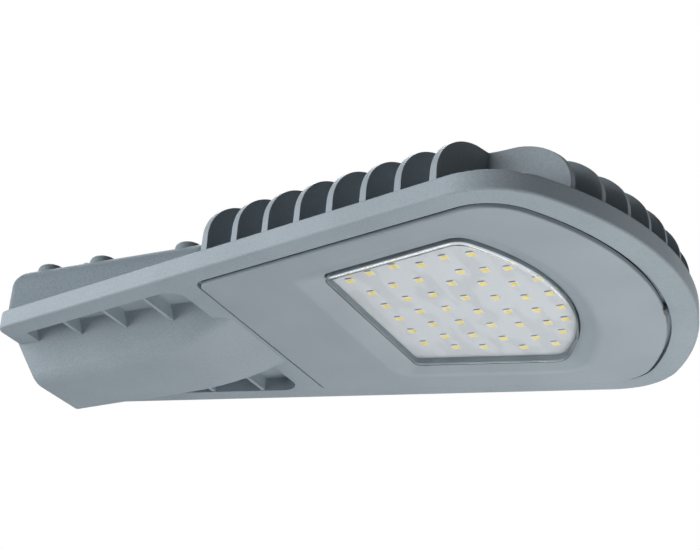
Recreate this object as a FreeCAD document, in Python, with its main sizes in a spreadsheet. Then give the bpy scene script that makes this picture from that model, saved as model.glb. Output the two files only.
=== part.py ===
"""LED street light head: a die-cast body with a finned top, a pole socket and a glazed lens plate.

Frame: X runs from the pole socket to the nose, Y across, Z up. The origin is the middle of
the socket's mouth. Heights in the sheet count from the underside of the body's rim.
"""
import math
import os
import re
from collections import namedtuple

import FreeCAD
import Part

SIZES = [
    # The pole socket
    ("socket_radius", 25.0, "radius of the cradle that takes the pole"),
    ("socket_depth", 92.0, "how far the pole goes in"),
    ("socket_rise", 8.6, "height of the socket's axis over the rim's underside"),
    # The rim, seen from below
    ("body_length", 456.0, "rear edge to nose"),
    ("rear_half_width", 68.6, "half width at the rear edge"),
    ("side_flare", 0.211, "widening of each side per unit of length"),
    ("shoulder_radius", 49.4, "corner between side and nose"),
    ("nose_radius", 211.5, "sweep of the nose"),
    ("rear_corner_radius", 9.0, "upright corners at the rear edge"),
    ("rim_height", 12.95, "height of the rim band"),
    ("rim_round", 1.6, "rounding of the rim's long edges"),
    # The opening for the lens plate
    ("opening_rear", 169.2, "rear edge of the opening"),
    ("opening_side", 13.4, "side line of the opening from the rim's, at the rear edge"),
    ("opening_flare", 0.207, "widening of the opening"),
    ("opening_margin", 17.2, "nose end of the opening from the body's nose"),
    ("opening_shoulder", 36.7, "shoulder radius of the opening"),
    ("opening_nose", 197.8, "nose radius of the opening"),
    ("opening_corner", 9.0, "rear corners of the opening"),
    ("ledge_height", 3.2, "height of the ledge that the gasket seals on"),
    ("ledge_width", 9.0, "width of that ledge"),
    ("ceiling_height", 13.5, "ceiling of the sealed chamber"),
    ("roof_height", 17.0, "top of the heat sink's base plate"),
    ("roof_inset", 5.0, "base plate's edge from the opening's line"),
    # The fins
    ("fin_top", 55.5, "top of the fins, carried back to the rear edge"),
    ("fin_fall", 1.4, "fall of the fins' tops towards the nose, degrees"),
    ("fin_round", 28.0, "rounded outer corner of each fin"),
    ("fin_corner", 32.0, "upright rear corners of the space that the fins fill"),
    ("fin_crest", 28.5, "where the fins start to fall, from their outer ends"),
    ("fin_dip", 2.3, "how much lower the fins are further in"),
    ("fin_dip_run", 19.0, "distance over which they fall"),
    ("fin_inset", 0.8, "fins' outer ends from the rim's face"),
    ("fin_nose_inset", 3.2, "nose fins' outer ends from the rim's nose"),
    ("side_fin_root", 4.8, "thickness of the side fins at the root"),
    ("side_fin_tip", 3.0, "thickness of the side fins at the top"),
    ("nose_fin_root", 2.8, "thickness of the nose fins at the root"),
    ("nose_fin_tip", 1.8, "thickness of the nose fins at the top"),
    ("side_fin_first", 184.6, "first side fin on the rim's edge"),
    ("side_fin_last", 101.85, "last side fin from the body's nose"),
    ("side_fin_count", 8, "side fins on each side"),
    ("side_fin_angle", 25.4, "sweep of the side fins towards the nose"),
    ("nose_fin_first", 23.6, "first nose fin from the middle one"),
    ("nose_fin_pitch", 20.9, "spacing of the other nose fins"),
    ("nose_fin_pairs", 5, "nose fins on each side of the middle one"),
    # The trough under the socket
    ("trough_half_top", 42.0, "half width of the trough at the rim's underside"),
    ("trough_half_bottom", 26.0, "half width of the trough's floor"),
    ("trough_drop", 24.2, "depth of the trough at its mouth"),
    ("trough_end", 167.0, "where the floor meets the rim's underside"),
    ("trough_round", 12.0, "rounding along the trough's floor"),
    ("mouth_slant", 18.0, "slant of the trough's rear end, degrees"),
    ("well_start", 98.0, "well ahead of the pole's end"),
    ("well_length", 34.0, "length of the well"),
    ("well_half_width", 30.0, "half width of the well"),
    ("well_depth", 9.0, "floor of the well under the rim's underside"),
    # The pockets beside the trough
    ("strip_width", 15.0, "width of the rim strip beside the pockets"),
    ("pocket_start", 17.5, "rear end of the pockets"),
    ("pocket_end", 154.0, "front end of the pockets"),
    ("pocket_depth", 9.5, "depth of the pockets"),
    ("pocket_corner", 12.0, "rounded front corners of the pockets"),
    ("gusset_thickness", 2.6, "thickness of the gussets"),
    ("gusset_first", 51.0, "first gusset"),
    ("gusset_pitch", 36.5, "spacing of the gussets"),
    ("gusset_count", 3, "gussets on each side"),
    ("gusset_lift", 0.5, "gussets' lower edges over the rim's underside"),
    # The bay cover
    ("cover_rear", 1.6, "rear face of the bay cover"),
    ("cover_front", 158.0, "front face of the bay cover"),
    ("cover_half_width", 64.5, "half width of the bay cover"),
    ("cover_top", 47.5, "top of the bay cover"),
    ("cover_wall", 3.0, "wall of the bay cover"),
    ("cover_corner", 6.0, "upright corners of the bay cover"),
    ("cover_round", 13.0, "rounding of the bay cover's top"),
    ("bay_gasket_height", 1.0, "flat gasket under the bay cover"),
    ("notch_gap", 0.8, "gap between the pole and the cover's notch"),
    ("boss_radius", 9.6, "bosses on top of the bay cover"),
    ("boss_top", 51.6, "top of those bosses"),
    ("boss_round", 3.6, "rounding of the bosses"),
    ("boss_row", 49.0, "rows of bosses from the middle"),
    ("boss_rear", 24.0, "rear pair of bosses"),
    ("boss_middle", 67.0, "middle pair of bosses"),
    ("boss_front", 135.0, "front pair of bosses"),
    ("stub_radius", 5.0, "small boss beside each middle boss"),
    ("stub_top", 49.8, "top of the small boss"),
    ("stub_step", 12.5, "small boss from the middle boss"),
    ("post_radius", 6.0, "posts inside the bay"),
    ("cover_screw_head", 5.5, "radius of the cover screws' heads"),
    ("cover_screw_gap", 0.3, "gap round those heads"),
    ("cover_screw_head_height", 4.0, "height of those heads"),
    ("cover_screw_shank", 2.5, "radius of the cover screws"),
    ("cover_screw_length", 22.0, "length of the cover screws"),
    # The clamp
    ("saddle_start", 29.0, "rear end of the clamp saddle"),
    ("saddle_length", 33.0, "length of the saddle"),
    ("saddle_half_width", 44.0, "half width of the saddle's feet"),
    ("saddle_foot", 6.0, "thickness of the feet"),
    ("saddle_wall", 5.5, "wall of the saddle's arch"),
    ("clamp_bolt_radius", 4.0, "clamp bolts"),
    ("clamp_bolt_row", 36.5, "clamp bolts from the middle"),
    ("clamp_bolt_inset", 9.0, "clamp bolts from the saddle's ends"),
    ("clamp_bolt_depth", 13.0, "how deep the clamp bolts go under the deck"),
    ("clamp_head_radius", 6.5, "hexagonal heads of the clamp bolts"),
    ("clamp_head_height", 5.3, "height of those heads"),
    ("washer_radius", 7.2, "clamp washers"),
    ("washer_height", 1.6, "thickness of the clamp washers"),
    # The lens plate
    ("plate_gap", 2.6, "gap around the lens plate"),
    ("plate_drop", 1.6, "how far the plate stands below the rim"),
    ("plate_top", 1.4, "inner face of the plate"),
    ("plate_round", 0.9, "rounding of the plate's edge"),
    ("recess_roll", 13.0, "soft roll along the edge of the recess"),
    ("recess_rear", 233.0, "rear edge of the recess round the window"),
    ("recess_side", 25.8, "side line of the recess from the opening's, at the rear edge"),
    ("recess_flare", 0.216, "widening of the recess"),
    ("recess_margin", 45.3, "nose end of the recess from the opening's"),
    ("recess_shoulder", 24.8, "shoulder radius of the recess"),
    ("recess_nose", 169.8, "nose radius of the recess"),
    ("recess_corner", 12.0, "rear corners of the recess"),
    ("window_rear", 248.4, "rear edge of the window"),
    ("window_side", 14.1, "side line of the window from the recess's, at the rear edge"),
    ("window_flare", 0.219, "widening of the window"),
    ("window_margin", 11.5, "nose end of the window from the recess's"),
    ("window_shoulder", 13.0, "shoulder radius of the window"),
    ("window_nose", 143.0, "nose radius of the window"),
    ("window_corner", 7.0, "rear corners of the window"),
    ("sill_height", 3.8, "sill of the window over the rim's underside"),
    ("collar_top", 6.3, "top of the collar that carries the lens"),
    ("collar_margin", 2.0, "collar's outer face from the recess's edge"),
    ("plate_boss_radius", 4.5, "blind screw bosses on the plate"),
    ("plate_boss_inset", 15.0, "those bosses from the opening's line"),
    ("plate_rear_row", 40.0, "rear plate screws from the middle"),
    ("plate_screw_radius", 2.0, "plate screws"),
    ("gasket_margin", 0.5, "gaskets from the edges of their seats"),
    ("plate_screw_head", 4.0, "radius of the plate screws' heads"),
    ("plate_screw_head_height", 2.8, "height of those heads"),
    ("plate_screw_length", 14.0, "length of the plate screws"),
    ("clip_angle", 9.0, "place of the catch round the nose, degrees"),
    ("clip_width", 8.0, "width of the catch"),
    ("clip_height", 4.0, "height of the catch"),
    ("clip_reach", 2.0, "how far the catch fills the gap"),
    ("clip_clearance", 0.02, "clearance behind the catch"),
    # The lens and what holds it
    ("lens_gap", 0.8, "gap between window and lens"),
    ("lens_wall", 2.6, "wall of the lens"),
    ("lens_face", -0.4, "outer face of the lens over the rim's underside"),
    ("lens_round", 1.6, "rounding of the lens's raised edge"),
    ("lens_flange", 6.0, "width of the lens's flange outside the window"),
    ("lens_flange_height", 2.0, "thickness of the flange"),
    ("flange_gap", 0.4, "gap between the flange and the retaining frame"),
    ("lens_gasket_height", 0.6, "thickness of the lens gasket"),
    ("retainer_top", 10.4, "top of the retaining frame"),
    ("retainer_reach", 10.5, "outer edge of the retaining frame from the window"),
    ("retainer_screw_place", 8.2, "retainer screws from the window's line"),
    ("retainer_row", 42.9, "retainer screws at the nose and the rear, from the middle"),
    ("retainer_screw_head", 1.7, "radius of the retainer screws' heads"),
    ("retainer_screw_head_height", 1.2, "height of those heads"),
    ("retainer_screw_shank", 0.9, "radius of the retainer screws"),
    ("retainer_screw_length", 5.5, "length of the retainer screws"),
    # The LED board
    ("led_level", 6.5, "light-giving face of the LEDs"),
    ("led_height", 0.7, "height of an LED"),
    ("led_length", 5.4, "LED along X"),
    ("led_width", 5.0, "LED across"),
    ("board_gap", 1.4, "board's edge from the lens's wall"),
    ("board_height", 1.6, "thickness of the board"),
    ("pad_height", 0.5, "thickness of the heat-conducting pad"),
    # The parts in the bay
    ("driver_start", 100.5, "rear end of the driver"),
    ("driver_front_gap", 4.5, "driver from the inside of the cover's front"),
    ("driver_half_width", 40.0, "half width of the driver with its ears"),
    ("driver_ear", 7.0, "length of the driver's ears"),
    ("driver_lift", 2.0, "pads under the driver"),
    ("driver_head_gap", 2.5, "driver from the inside of the cover's top"),
    ("driver_round", 2.0, "rounded corners of the driver's case"),
    ("driver_ear_height", 2.5, "thickness of the driver's ears"),
    ("small_screw_radius", 1.5, "small screws in the bay"),
    ("small_screw_head", 3.0, "radius of their heads"),
    ("small_screw_head_height", 2.0, "height of their heads"),
    ("small_screw_grip", 2.5, "how deep they go into the deck"),
    ("block_start", 31.5, "rear end of the terminal block and of the surge protector"),
    ("block_length", 28.0, "length of both"),
    ("block_inner", 46.0, "inner side of both"),
    ("block_outer", 60.0, "outer side of both"),
    ("terminal_height", 19.0, "height of the terminal block"),
    ("surge_height", 24.0, "height of the surge protector"),
    ("unit_ear", 5.5, "length of the ears of both"),
    ("unit_ear_height", 2.5, "thickness of those ears"),
    ("unit_screw_head", 2.6, "radius of their screws' heads"),
    ("terminal_ways", 3, "ways of the terminal block"),
    ("wire_hole_height", 7.0, "height of the wire holes over the deck"),
    ("terminal_hole", 1.9, "radius of the terminal block's holes"),
    ("terminal_hole_depth", 7.0, "depth of those holes"),
    ("gland_level", 7.6, "height of the gland's axis"),
    ("gland_radius", 4.0, "bore that the leads pass through"),
    ("gland_head", 6.5, "radius of the gland's head"),
    ("gland_head_length", 8.0, "length of the gland's head"),
    ("gland_wall", 1.2, "wall of the gland's sleeve"),
    ("earth_place", 86.0, "earth screw along X"),
    ("vent_place", 190.0, "breather along X"),
    ("vent_radius", 6.5, "radius of the breather's cap"),
    ("vent_height", 6.0, "height of the breather's cap"),
    ("vent_round", 1.0, "rounding of the cap"),
    ("vent_stem", 3.5, "radius of the breather's stem"),
]

# Columns of LEDs: place along the board, then the places across it. All are percentages, along from
# the board's rear end to its nose, and across from its middle to its side.
LED_COLUMNS = [
    (10.7, [-50.9, -21.8, 7.3, 36.4, 65.5]),
    (24.8, [-56.5, -28.9, -1.4, 26.2, 53.7]),
    (39.4, [-56.2, -28.2, -0.3, 27.7, 55.7]),
    (53.5, [-41.1, -14.3, 12.4, 39.2, 66]),
    (68, [-32, -7.1, 17.8, 42.7]),
    (82.5, [-23.8, -1.4, 21.1, 43.5]),
    (95.4, [-25.1, -2.2, 20.7]),
]
# The LEDs that follow the board's edge instead, in the same percentages.
LED_EDGES = [
    (6.3, -81.4), (19.2, -85.9), (33.7, -86.7), (47.4, -78.8), (62.7, -55.5), (61.1, -81.3),
    (74.8, -51.1), (74.8, -76.6), (86.1, -47.1), (92.6, 39.6), (86.1, 60.5), (77.3, 80.6), (70, 68.4),
    (59.5, 85.4), (39.4, 81), (24.8, 78.5),
]

Outline = namedtuple("Outline", "half_width flare length shoulder nose rear corner")
Vector = FreeCAD.Vector
UP = Vector(0, 0, 1)
FORWARD = Vector(1, 0, 0)
# Blades are cut this much too long and trimmed by the space they fill.
FIN_OVERRUN = 3.0
# What stands on the rim starts this deep in it, as an expression.
ROOT = "rim_height - 3"
# The plate screws stand halfway between these side fins, and between two nose fins.
SIDE_SCREW_GAPS = (0.5, 3.5, 5.5)
NOSE_SCREW_GAP = 1.5
# The driver fills the cover between its gaps, as expressions.
DRIVER_LENGTH = "(cover_front - cover_wall - driver_front_gap - driver_start)"
DRIVER_HEIGHT = "(cover_top - cover_wall - driver_head_gap - rim_height - driver_lift)"
# The trough's stations: shares of its length, of its depth and of its half width at the top.
TROUGH_STATIONS = [(0.0, 1.0, 1.0), (0.125, 0.945, 1.005), (0.25, 0.893, 1.01),
                   (0.375, 0.845, 1.02), (0.5, 0.8, 1.03), (0.625, 0.74, 1.035),
                   (0.75, 0.59, 1.04), (0.875, 0.32, 1.02), (1.0, 0.008, 0.93)]
# The trough starts this high over the pockets' ceiling.
TROUGH_RISE = 1.0
# Where the retaining frame's side screws stand, as shares of the window's length.
RETAINER_SHARES = (0.12, 0.42, 0.68)

doc = FreeCAD.newDocument("street_light_head")
sheet = doc.addObject("Spreadsheet::Sheet", "dims")
for row, (alias, value, note) in enumerate(SIZES, start=1):
    sheet.set("A%d" % row, note)
    sheet.set("B%d" % row, str(value))
    sheet.setAlias("B%d" % row, alias)
doc.recompute()
size = {alias: float(sheet.get(alias)) for alias, _, _ in SIZES}


# Helpers: every expression is written with the sheet's plain aliases
def bind(obj, prop, expression):
    """Binds a property to an expression in the sheet's aliases."""
    obj.setExpression(prop, re.sub(r"[a-z][a-z_]+", lambda word: "dims." + word.group(0), expression))


def level(height):
    """Expression for a height over the rim's underside, in the object's frame."""
    return height + " - socket_rise"


def fixed(number):
    """Expression for a place that was worked out from the outlines."""
    return "%.4f" % number


def place(obj, x, y, z):
    """Binds an object's position to three expressions."""
    bind(obj, "Placement.Base.x", x)
    bind(obj, "Placement.Base.y", y)
    bind(obj, "Placement.Base.z", z)


def box(name, corner, extent):
    """A block from its low corner and its three lengths."""
    block = doc.addObject("Part::Box", name)
    for prop, expression in zip(("Length", "Width", "Height"), extent):
        bind(block, prop, expression)
    place(block, *corner)
    return block


def rod(name, foot, radius, length, axis=UP):
    """A cylinder from the middle of its foot."""
    cylinder = doc.addObject("Part::Cylinder", name)
    cylinder.Placement = FreeCAD.Placement(Vector(), FreeCAD.Rotation(UP, axis))
    bind(cylinder, "Radius", radius)
    bind(cylinder, "Height", length)
    place(cylinder, *foot)
    return cylinder


def fuse(name, parts):
    """One solid from several that touch."""
    joined = doc.addObject("Part::MultiFuse", name)
    joined.Shapes = parts
    joined.Refine = True
    return joined


def cut(name, base, tools):
    """A solid less one or more tools."""
    result = doc.addObject("Part::Cut", name)
    result.Base = base
    result.Tool = tools[0] if len(tools) == 1 else fuse(name + "_tools", tools)
    result.Refine = True
    return result


def common(name, base, tool):
    """What two solids share."""
    result = doc.addObject("Part::Common", name)
    result.Base = base
    result.Tool = tool
    return result


def group(name, parts):
    """Separate solids that share a node."""
    bundle = doc.addObject("Part::Compound", name)
    bundle.Links = parts
    return bundle


def mirrored(name, source):
    """The copy of an object on the other side of the XZ plane."""
    copy = doc.addObject("Part::Mirroring", name)
    copy.Source = source
    copy.Normal = Vector(0, 1, 0)
    return copy


def inset(outline, distance):
    """The outline drawn in by a distance, or let out by a negative one."""
    slope = math.hypot(1.0, outline.flare)
    return Outline(outline.half_width - distance * slope, outline.flare, outline.length - distance,
                   max(outline.shoulder - distance, 1.0), outline.nose - distance,
                   outline.rear + distance, max(outline.corner - distance, 0.5))


def outline_curves(outline):
    """Lines and arcs of an outline, counterclockwise: flared sides, shoulders, a swept nose."""
    slope = math.hypot(1.0, outline.flare)
    out = Vector(-outline.flare / slope, 1.0 / slope)
    # The shoulder touches the side line and the nose arc from inside.
    centre_nose = outline.length - outline.nose
    lift = outline.half_width - outline.shoulder * slope
    reach = outline.nose - outline.shoulder
    half = outline.flare * lift - centre_nose
    root = half * half - slope * slope * (centre_nose ** 2 + lift * lift - reach * reach)
    shoulder_x = (-half + math.sqrt(root)) / (slope * slope)
    shoulder = Vector(shoulder_x, lift + outline.flare * shoulder_x)
    to_nose = (shoulder - Vector(centre_nose, 0)).normalize()
    corner_x = outline.rear + outline.corner
    corner = Vector(corner_x, outline.half_width + outline.flare * corner_x - outline.corner * slope)
    points = [
        Vector(outline.length, 0),
        Vector(centre_nose, 0) + to_nose * outline.nose,
        shoulder + (out + to_nose).normalize() * outline.shoulder,
        shoulder + out * outline.shoulder,
        corner + out * outline.corner,
        corner + (out - Vector(1, 0)).normalize() * outline.corner,
        corner - Vector(outline.corner, 0),
    ]
    low = [Vector(point.x, -point.y) for point in points]
    return [
        Part.Arc(low[1], points[0], points[1]),
        Part.Arc(points[1], points[2], points[3]),
        Part.LineSegment(points[3], points[4]),
        Part.Arc(points[4], points[5], points[6]),
        Part.LineSegment(points[6], low[6]),
        Part.Arc(low[6], low[5], low[4]),
        Part.LineSegment(low[4], low[3]),
        Part.Arc(low[3], low[2], low[1]),
    ]


def drawing(name, curves, rotation=None):
    """A sketch that holds the given lines and arcs."""
    sketch = doc.addObject("Sketcher::SketchObject", name)
    if rotation:
        sketch.Placement = FreeCAD.Placement(Vector(), rotation)
    sketch.addGeometry(curves, False)
    return sketch


def raise_sketch(name, curves, low, high):
    """Closed curves raised from one height to another, both over the rim's underside."""
    sketch = drawing(name + "_sketch", curves)
    bind(sketch, "Placement.Base.z", level(low))
    raised = doc.addObject("Part::Extrusion", name)
    raised.Base = sketch
    raised.DirMode = "Custom"
    raised.Dir = UP
    raised.Solid = True
    bind(raised, "LengthFwd", "%s - (%s)" % (high, low))
    return raised


def slab(name, outline, low, high):
    """An outline raised from one height to another."""
    return raise_sketch(name, outline_curves(outline), low, high)


def ring(name, outer, inner, low, high):
    """The band between two outlines, raised from one height to another."""
    return cut(name, slab(name + "_outer", outer, low, high),
               [slab(name + "_inner", inner, low + " - 1", high + " + 1")])


def bevel_between(name, lower, low, upper, high):
    """A ruled solid from one outline to another at a second height."""
    sections = []
    for tag, outline, height in (("low", lower, low), ("high", upper, high)):
        sketch = drawing("%s_%s_sketch" % (name, tag), outline_curves(outline))
        bind(sketch, "Placement.Base.z", level(height))
        sections.append(sketch)
    loft = doc.addObject("Part::Loft", name)
    loft.Sections = sections
    loft.Solid = True
    loft.Ruled = True
    return loft


def rounded(name, base, radius, wanted):
    """A fillet on every edge that the test accepts."""
    doc.recompute()
    edges = [number for number, edge in enumerate(base.Shape.Edges, start=1) if wanted(edge)]
    fillet = doc.addObject("Part::Fillet", name)
    fillet.Base = base
    fillet.Edges = [(number, radius, radius) for number in edges]
    return fillet


def flat_at(height):
    """A test for edges that lie wholly at one height over the rim's underside."""
    wanted = height - size["socket_rise"]

    def test(edge):
        box_of = edge.BoundBox
        return abs(box_of.ZMin - wanted) < 0.01 and abs(box_of.ZMax - wanted) < 0.01
    return test


def upright(edge):
    """A test for edges that stand upright."""
    return edge.BoundBox.XLength < 0.01 and edge.BoundBox.YLength < 0.01


def screw(name, seat, head_radius, head_height, shank_radius, length, axis=UP):
    """A screw whose head stands on its seat and whose shank goes the other way."""
    head = rod(name + "_head", seat, head_radius, head_height, axis)
    shank = rod(name + "_shank", seat, shank_radius, length, axis * -1)
    return fuse(name, [head, shank])


rim_line = Outline(size["rear_half_width"], size["side_flare"], size["body_length"],
                   size["shoulder_radius"], size["nose_radius"], 0.0, size["rear_corner_radius"])


def line_inside(outer, name):
    """The next outline inwards: side and nose from the outer one, the rest from its own sizes."""
    own = {key: size["%s_%s" % (name, key)]
           for key in ("side", "flare", "margin", "shoulder", "nose", "rear", "corner")}
    return Outline(outer.half_width - own["side"], own["flare"], outer.length - own["margin"],
                   own["shoulder"], own["nose"], own["rear"], own["corner"])


opening_line = line_inside(rim_line, "opening")
recess_line = line_inside(opening_line, "recess")
window_line = line_inside(recess_line, "window")
chamber_line = inset(opening_line, size["ledge_width"])
lens_hole_line = inset(window_line, size["lens_gap"] + size["lens_wall"])
board_line = inset(lens_hole_line, size["board_gap"])


def half_width_at(outline, x):
    """Half width of an outline's side line at a place along X."""
    return outline.half_width + outline.flare * x


def nose_at(outline, y):
    """Where an outline's nose arc stands at a place across."""
    return outline.length - outline.nose + math.sqrt(outline.nose ** 2 - y * y)


# The heat sink: an envelope with a rounded edge, sliced into fins
def fin_envelope():
    """The space that the fins fill: rounded outside, lower further in, falling to the nose."""
    fin_line = inset(rim_line, size["fin_inset"])
    fin_line = fin_line._replace(corner=size["fin_corner"],
                                 length=rim_line.length - size["fin_nose_inset"])
    block = slab("fin_block", fin_line, ROOT, "fin_top")
    soft = rounded("fin_block_round", block, size["fin_round"], flat_at(size["fin_top"]))
    crest = inset(fin_line, size["fin_crest"])
    valley = inset(fin_line, size["fin_crest"] + size["fin_dip_run"])
    dish = bevel_between("fin_dish", valley, "fin_top - fin_dip", crest, "fin_top")
    space = cut("fin_space", soft, [dish])
    space.Placement.Rotation = FreeCAD.Rotation(Vector(0, 1, 0), size["fin_fall"])
    return space


def fin_blade(name, row, angle, length, x, y, overrun):
    """A blade that is thicker at its root, standing on the rim and turned about Z."""
    blade = doc.addObject("Part::Wedge", name)
    # The wedge's own Y becomes the fin's height and its own Z the fin's length.
    stand = FreeCAD.Rotation(Vector(1, 0, 0), 90)
    turn = FreeCAD.Rotation(UP, angle)
    blade.Placement = FreeCAD.Placement(Vector(x, y, 0), turn.multiply(stand))
    blade.Ymin = 0
    blade.Zmin = -length
    blade.Zmax = overrun
    blade.Z2min = -length
    blade.Z2max = overrun
    bind(blade, "Xmin", "0 - %s_fin_root / 2" % row)
    bind(blade, "Xmax", "%s_fin_root / 2" % row)
    bind(blade, "X2min", "0 - %s_fin_tip / 2" % row)
    bind(blade, "X2max", "%s_fin_tip / 2" % row)
    bind(blade, "Ymax", "fin_top - (%s)" % ROOT)
    bind(blade, "Placement.Base.z", level(ROOT))
    return blade


def side_fin_line(number):
    """Place on the rim's edge where a side fin starts, or one between two fins."""
    span = size["body_length"] - size["side_fin_last"] - size["side_fin_first"]
    x = size["side_fin_first"] + number * span / (size["side_fin_count"] - 1)
    return x, half_width_at(rim_line, x)


def side_fins():
    """The blades along both sides, swept towards the nose, up to the middle."""
    sweep = math.radians(size["side_fin_angle"])
    blades = []
    for number in range(int(size["side_fin_count"])):
        x, y = side_fin_line(number)
        length = y / math.cos(sweep)
        near = -size["side_fin_angle"]
        blades.append(fin_blade("near_fin_%d" % number, "side", near, length, x, -y, FIN_OVERRUN))
        blades.append(fin_blade("far_fin_%d" % number, "side", -near - 180, length, x, y,
                                FIN_OVERRUN))
    return blades


def nose_fin_row(number):
    """How far a nose fin, or a place between two, stands from the middle one."""
    return size["nose_fin_first"] + (number - 1) * size["nose_fin_pitch"] if number else 0.0


def nose_fins():
    """The blades over the nose, straight along X, back to the last pair of side fins."""
    last_x, last_y = side_fin_line(int(size["side_fin_count"]) - 1)
    sweep = math.tan(math.radians(size["side_fin_angle"]))
    pairs = int(size["nose_fin_pairs"])
    blades = []
    for number in range(-pairs, pairs + 1):
        y = math.copysign(nose_fin_row(abs(number)), number)
        start = last_x + (last_y - abs(y)) * sweep
        length = size["body_length"] + FIN_OVERRUN - start
        blades.append(fin_blade("nose_fin_%d" % (number + pairs), "nose", -90.0, length, start, y,
                                0.0))
    return blades


# The trough that holds the pole
def trough_section(name, x, half_top, half_bottom, floor, radius):
    """Cross-section of the trough, open edge up in the deck, with rounded floor corners."""
    rise = size["pocket_depth"] + TROUGH_RISE
    top = rise - size["socket_rise"]
    bottom = -floor - size["socket_rise"]
    lean = (half_top - half_bottom) / floor
    half_deck = half_top + lean * rise
    side = Vector(half_deck - half_bottom, top - bottom).normalize()
    bend = math.atan2(side.y, side.x)
    setback = radius * math.tan(bend / 2)
    start = Vector(half_bottom - setback, bottom)
    finish = Vector(half_bottom, bottom) + side * setback
    middle = Vector(start.x + radius * math.sin(bend / 2), bottom + radius * (1 - math.cos(bend / 2)))

    def opposite(point):
        return Vector(-point.x, point.y)
    deck = Vector(half_deck, top)
    curves = [
        Part.LineSegment(opposite(start), start),
        Part.Arc(start, middle, finish),
        Part.LineSegment(finish, deck),
        Part.LineSegment(deck, opposite(deck)),
        Part.LineSegment(opposite(deck), opposite(finish)),
        Part.Arc(opposite(finish), opposite(middle), opposite(start)),
    ]
    across = FreeCAD.Rotation(Vector(0, 1, 0), UP, Vector(1, 0, 0), "XYZ")
    sketch = drawing(name, curves, across)
    sketch.Placement.Base = Vector(x, 0, 0)
    return sketch


def trough():
    """The trough's outside: deepest at its mouth, with a floor that sweeps up to the rim."""
    lean = (size["trough_half_top"] - size["trough_half_bottom"]) / size["trough_drop"]
    sections = []
    for number, (along, deep, wide) in enumerate(TROUGH_STATIONS):
        floor = deep * size["trough_drop"]
        half_top = wide * size["trough_half_top"]
        sections.append(trough_section("trough_station_%d" % number, along * size["trough_end"],
                                       half_top, half_top - lean * floor, floor,
                                       size["trough_round"]))
    loft = doc.addObject("Part::Loft", "trough")
    loft.Sections = sections
    loft.Solid = True
    return loft


def mouth_slice():
    """The slanted cut at the trough's rear end, from the rim's underside down."""
    slice_box = doc.addObject("Part::Box", "mouth_slice")
    tilt = FreeCAD.Rotation(Vector(0, 1, 0), -size["mouth_slant"])
    slice_box.Placement = FreeCAD.Placement(Vector(0, 0, 0), tilt)
    bind(slice_box, "Length", "trough_drop")
    bind(slice_box, "Width", "4 * trough_half_top")
    bind(slice_box, "Height", "2 * trough_drop")
    slant = math.radians(size["mouth_slant"])
    reach = 2 * size["trough_drop"]
    x = reach * math.sin(slant) - size["trough_drop"] * math.cos(slant)
    z = -size["socket_rise"] - reach * math.cos(slant) - size["trough_drop"] * math.sin(slant)
    slice_box.Placement.Base = Vector(x, -2 * size["trough_half_top"], z)
    return slice_box


def pocket(name):
    """The space beside the trough on the near side, up to its ceiling."""
    start = size["pocket_start"]
    end = size["pocket_end"]
    turn = size["pocket_corner"]
    middle = size["trough_half_top"] / 2
    edge = inset(rim_line, size["strip_width"])
    corner_y = half_width_at(edge, end - turn)
    bulge = turn * (1 - math.sqrt(0.5))
    corners = [
        Vector(start, -middle),
        Vector(start, -half_width_at(edge, start)),
        Vector(end - turn, -corner_y),
        Vector(end, turn - corner_y),
        Vector(end, -middle),
    ]
    curves = [
        Part.LineSegment(corners[0], corners[1]),
        Part.LineSegment(corners[1], corners[2]),
        Part.Arc(corners[2], Vector(end - bulge, bulge - corner_y), corners[3]),
        Part.LineSegment(corners[3], corners[4]),
        Part.LineSegment(corners[4], corners[0]),
    ]
    return raise_sketch(name, curves, "0 - 1", "pocket_depth")


def gussets():
    """Thin ribs that tie the trough to the rim across both pockets."""
    ribs = []
    for number in range(int(size["gusset_count"])):
        x = size["gusset_first"] + number * size["gusset_pitch"]
        reach = half_width_at(rim_line, x) - size["strip_width"] / 2
        ribs.append(box("gusset_%d" % number, (fixed(x), fixed(-reach), level("gusset_lift")),
                        ("gusset_thickness", fixed(2 * reach), "pocket_depth")))
    return ribs


def plate_screw_places():
    """Where the plate screws stand: between the side fins, between the nose fins and at the rear."""
    line = inset(opening_line, size["plate_boss_inset"])
    sweep = math.tan(math.radians(size["side_fin_angle"]))
    places = []
    for gap in SIDE_SCREW_GAPS:
        start, edge = side_fin_line(gap)
        x = (start + sweep * (edge - line.half_width)) / (1 + sweep * line.flare)
        places += [(x, half_width_at(line, x)), (x, -half_width_at(line, x))]
    for side in (1, -1):
        y = side * nose_fin_row(NOSE_SCREW_GAP)
        places.append((nose_at(line, y), y))
    for y in (size["plate_rear_row"], -size["plate_rear_row"]):
        places.append((line.rear, y))
    return places


def boss_places():
    """The six bosses of the bay cover, as expressions."""
    return [(row, side + "boss_row") for row in ("boss_rear", "boss_middle", "boss_front")
            for side in ("", "0 - ")]


def clamp_bolt_places():
    """The four clamp bolts, as expressions."""
    rows = ("saddle_start + clamp_bolt_inset", "saddle_start + saddle_length - clamp_bolt_inset")
    return [(x, side + "clamp_bolt_row") for x in rows for side in ("", "0 - ")]


def driver_screw_places():
    """The four screws in the driver's ears, as expressions."""
    rows = ("driver_start + driver_ear", "driver_start + %s - driver_ear" % DRIVER_LENGTH)
    return [(x, side + "(driver_half_width - driver_ear / 2)") for x in rows for side in ("", "0 - ")]


def unit_screw_places(side):
    """The two screws of a small unit in the bay, as expressions."""
    rows = ("block_start + unit_ear / 2", "block_start + block_length - unit_ear / 2")
    return [(x, side + "(block_inner + block_outer) / 2") for x in rows]


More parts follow.
